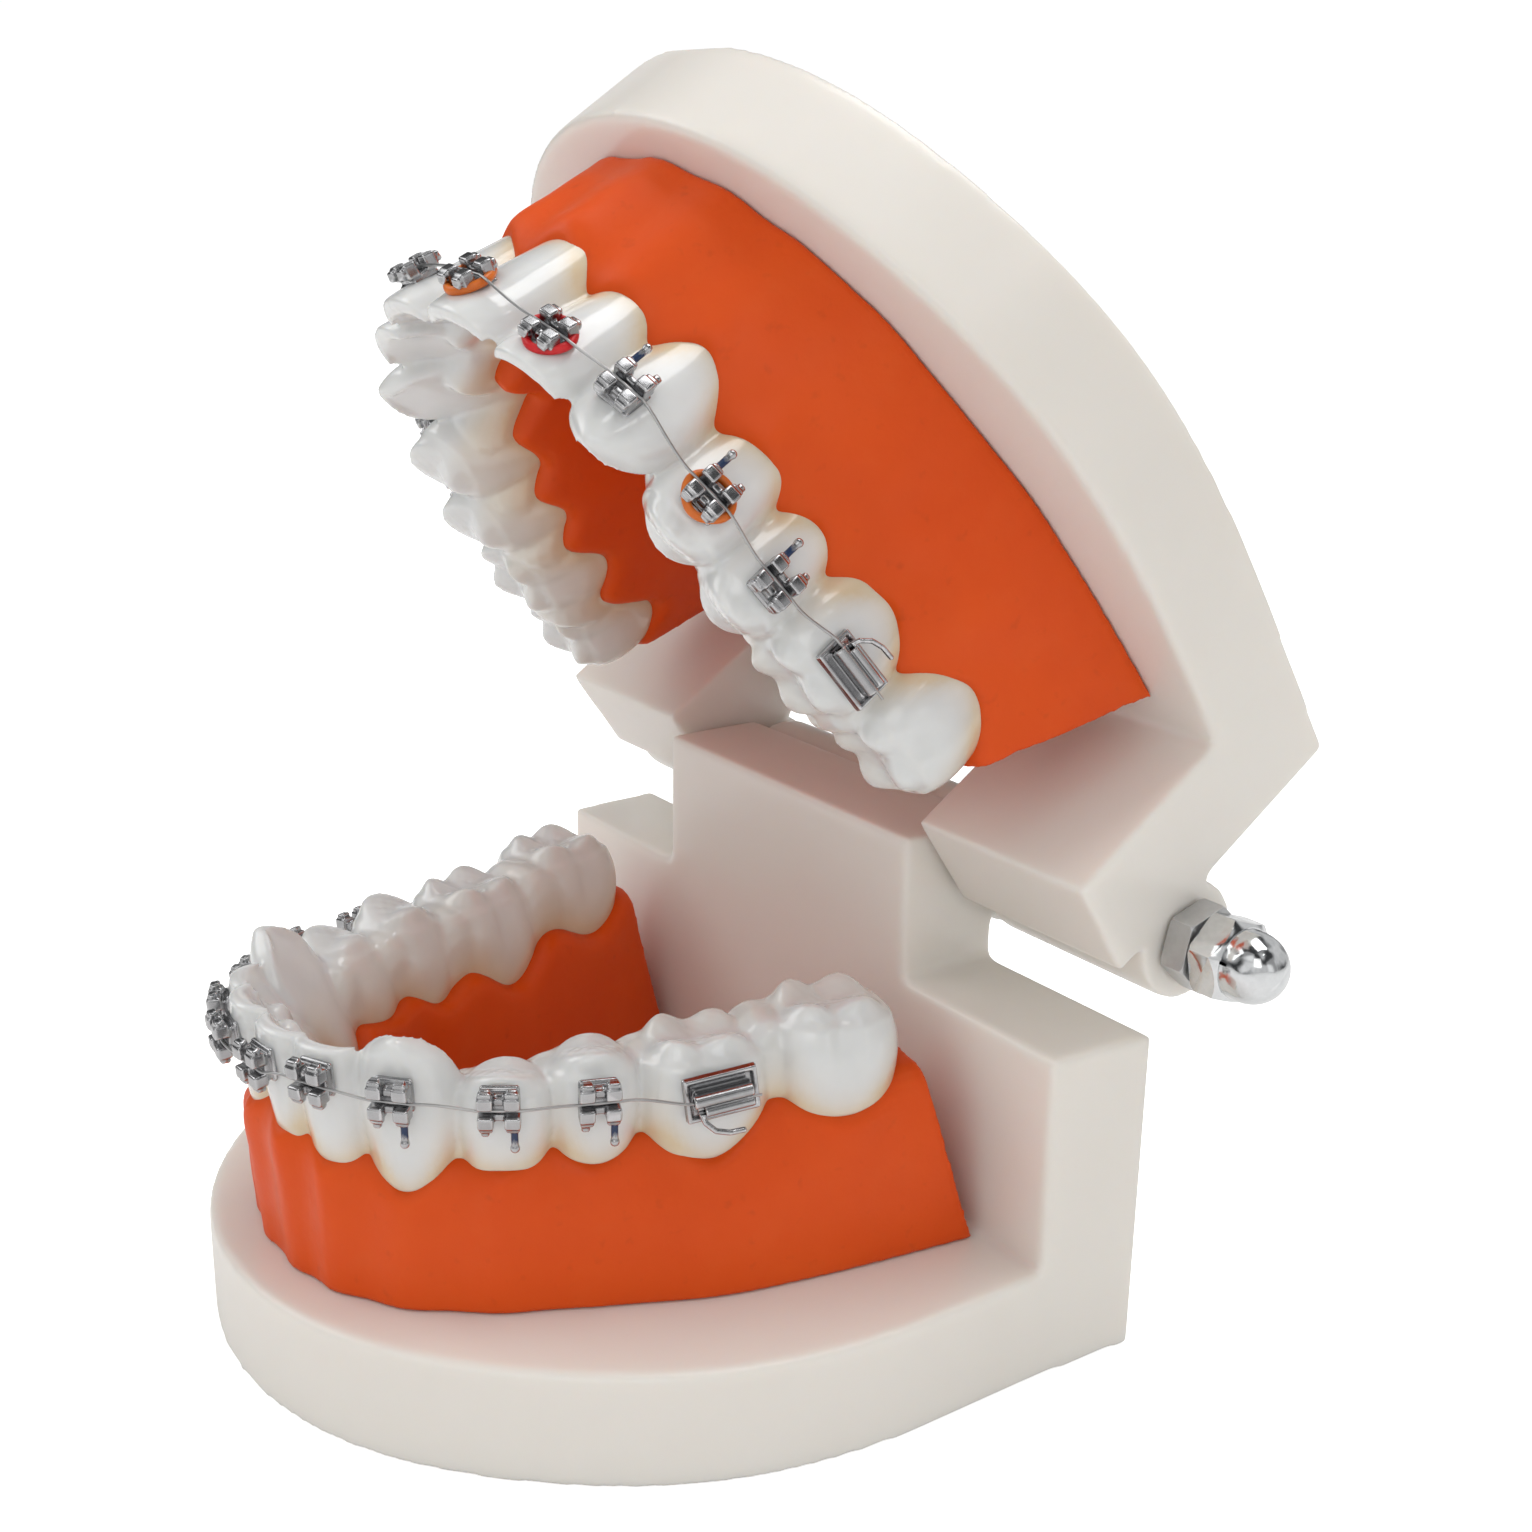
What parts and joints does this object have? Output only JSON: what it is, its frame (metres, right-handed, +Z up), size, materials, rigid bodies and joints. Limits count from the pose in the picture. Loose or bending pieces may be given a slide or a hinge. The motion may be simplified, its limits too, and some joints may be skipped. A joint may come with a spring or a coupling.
{
  "type": "typodont model",
  "caption": "Hinged teaching model of an upper and a lower dental arch on D-shaped bases, fitted with orthodontic brackets, molar tubes, archwires and elastic rings.",
  "frame": {"origin": "centre of the lower base's bottom face, midway across it and 27 mm in front of its rear face", "axes": "+Z up, -Y to the front (incisors), +X to the model's left side; the jaw hinge runs along X at the back"},
  "size_m": [0.0812, 0.0693, 0.0887],
  "materials": {
    "lower_base_plastic": "moulded, satin gloss, rounded edges",
    "lower_gum_plastic": "satin coral orange",
    "lower_teeth_enamel": "polished white, cream at the gum line",
    "bracket_lower_central_left_steel": "cast and polished stainless steel",
    "bracket_lower_lateral_left_steel": "cast and polished stainless steel",
    "bracket_lower_canine_left_steel": "cast and polished stainless steel",
    "bracket_lower_premolar1_left_steel": "cast and polished stainless steel",
    "bracket_lower_premolar2_left_steel": "cast and polished stainless steel",
    "tube_lower_molar1_left_steel": "cast and polished stainless steel",
    "bracket_lower_central_right_steel": "cast and polished stainless steel",
    "bracket_lower_lateral_right_steel": "cast and polished stainless steel",
    "bracket_lower_canine_right_steel": "cast and polished stainless steel",
    "bracket_lower_premolar1_right_steel": "cast and polished stainless steel",
    "bracket_lower_premolar2_right_steel": "cast and polished stainless steel",
    "tube_lower_molar1_right_steel": "cast and polished stainless steel",
    "archwire_lower_steel": "drawn round wire",
    "upper_base_plastic": "moulded, satin gloss, rounded edges",
    "upper_gum_plastic": "satin coral orange",
    "upper_teeth_enamel": "polished white, cream at the gum line",
    "bracket_upper_central_left_steel": "cast and polished stainless steel",
    "bracket_upper_lateral_left_steel": "cast and polished stainless steel",
    "bracket_upper_canine_left_steel": "cast and polished stainless steel",
    "bracket_upper_premolar1_left_steel": "cast and polished stainless steel",
    "bracket_upper_premolar2_left_steel": "cast and polished stainless steel",
    "tube_upper_molar1_left_steel": "cast and polished stainless steel",
    "bracket_upper_central_right_steel": "cast and polished stainless steel",
    "bracket_upper_lateral_right_steel": "cast and polished stainless steel",
    "bracket_upper_canine_right_steel": "cast and polished stainless steel",
    "bracket_upper_premolar1_right_steel": "cast and polished stainless steel",
    "bracket_upper_premolar2_right_steel": "cast and polished stainless steel",
    "tube_upper_molar1_right_steel": "cast and polished stainless steel",
    "archwire_upper_steel": "drawn round wire",
    "elastic_upper_central_left_rubber": "moulded polyurethane ring",
    "elastic_upper_lateral_left_rubber": "moulded polyurethane ring",
    "elastic_upper_premolar1_left_rubber": "moulded polyurethane ring",
    "jam_nut_left_zinc": "dull zinc plate",
    "cap_nut_left_chrome": "bright nickel plate",
    "jam_nut_right_zinc": "dull zinc plate",
    "cap_nut_right_chrome": "bright nickel plate",
    "hinge_rod_steel": "plain steel"
  },
  "bodies": {
    "lower_jaw": {"lower_base": "lower_base_plastic", "lower_gum": "lower_gum_plastic", "lower_teeth": "lower_teeth_enamel", "bracket_lower_central_left": "bracket_lower_central_left_steel", "bracket_lower_lateral_left": "bracket_lower_lateral_left_steel", "bracket_lower_canine_left": "bracket_lower_canine_left_steel", "bracket_lower_premolar1_left": "bracket_lower_premolar1_left_steel", "bracket_lower_premolar2_left": "bracket_lower_premolar2_left_steel", "tube_lower_molar1_left": "tube_lower_molar1_left_steel", "bracket_lower_central_right": "bracket_lower_central_right_steel", "bracket_lower_lateral_right": "bracket_lower_lateral_right_steel", "bracket_lower_canine_right": "bracket_lower_canine_right_steel", "bracket_lower_premolar1_right": "bracket_lower_premolar1_right_steel", "bracket_lower_premolar2_right": "bracket_lower_premolar2_right_steel", "tube_lower_molar1_right": "tube_lower_molar1_right_steel", "archwire_lower": "archwire_lower_steel"},
    "upper_jaw": {"upper_base": "upper_base_plastic", "upper_gum": "upper_gum_plastic", "upper_teeth": "upper_teeth_enamel", "bracket_upper_central_left": "bracket_upper_central_left_steel", "bracket_upper_lateral_left": "bracket_upper_lateral_left_steel", "bracket_upper_canine_left": "bracket_upper_canine_left_steel", "bracket_upper_premolar1_left": "bracket_upper_premolar1_left_steel", "bracket_upper_premolar2_left": "bracket_upper_premolar2_left_steel", "tube_upper_molar1_left": "tube_upper_molar1_left_steel", "bracket_upper_central_right": "bracket_upper_central_right_steel", "bracket_upper_lateral_right": "bracket_upper_lateral_right_steel", "bracket_upper_canine_right": "bracket_upper_canine_right_steel", "bracket_upper_premolar1_right": "bracket_upper_premolar1_right_steel", "bracket_upper_premolar2_right": "bracket_upper_premolar2_right_steel", "tube_upper_molar1_right": "tube_upper_molar1_right_steel", "archwire_upper": "archwire_upper_steel", "elastic_upper_central_left": "elastic_upper_central_left_rubber", "elastic_upper_lateral_left": "elastic_upper_lateral_left_rubber", "elastic_upper_premolar1_left": "elastic_upper_premolar1_left_rubber", "jam_nut_left": "jam_nut_left_zinc", "cap_nut_left": "cap_nut_left_chrome", "jam_nut_right": "jam_nut_right_zinc", "cap_nut_right": "cap_nut_right_chrome", "hinge_rod": "hinge_rod_steel"}
  },
  "joints": [
    {"name": "jaw_hinge", "type": "hinge", "parent": "lower_jaw", "child": "upper_jaw", "pos_m": [0, 0.0299, 0.0308], "axis": [-1, 0, 0], "range_deg": [-40.7, 54.3]}
  ]
}
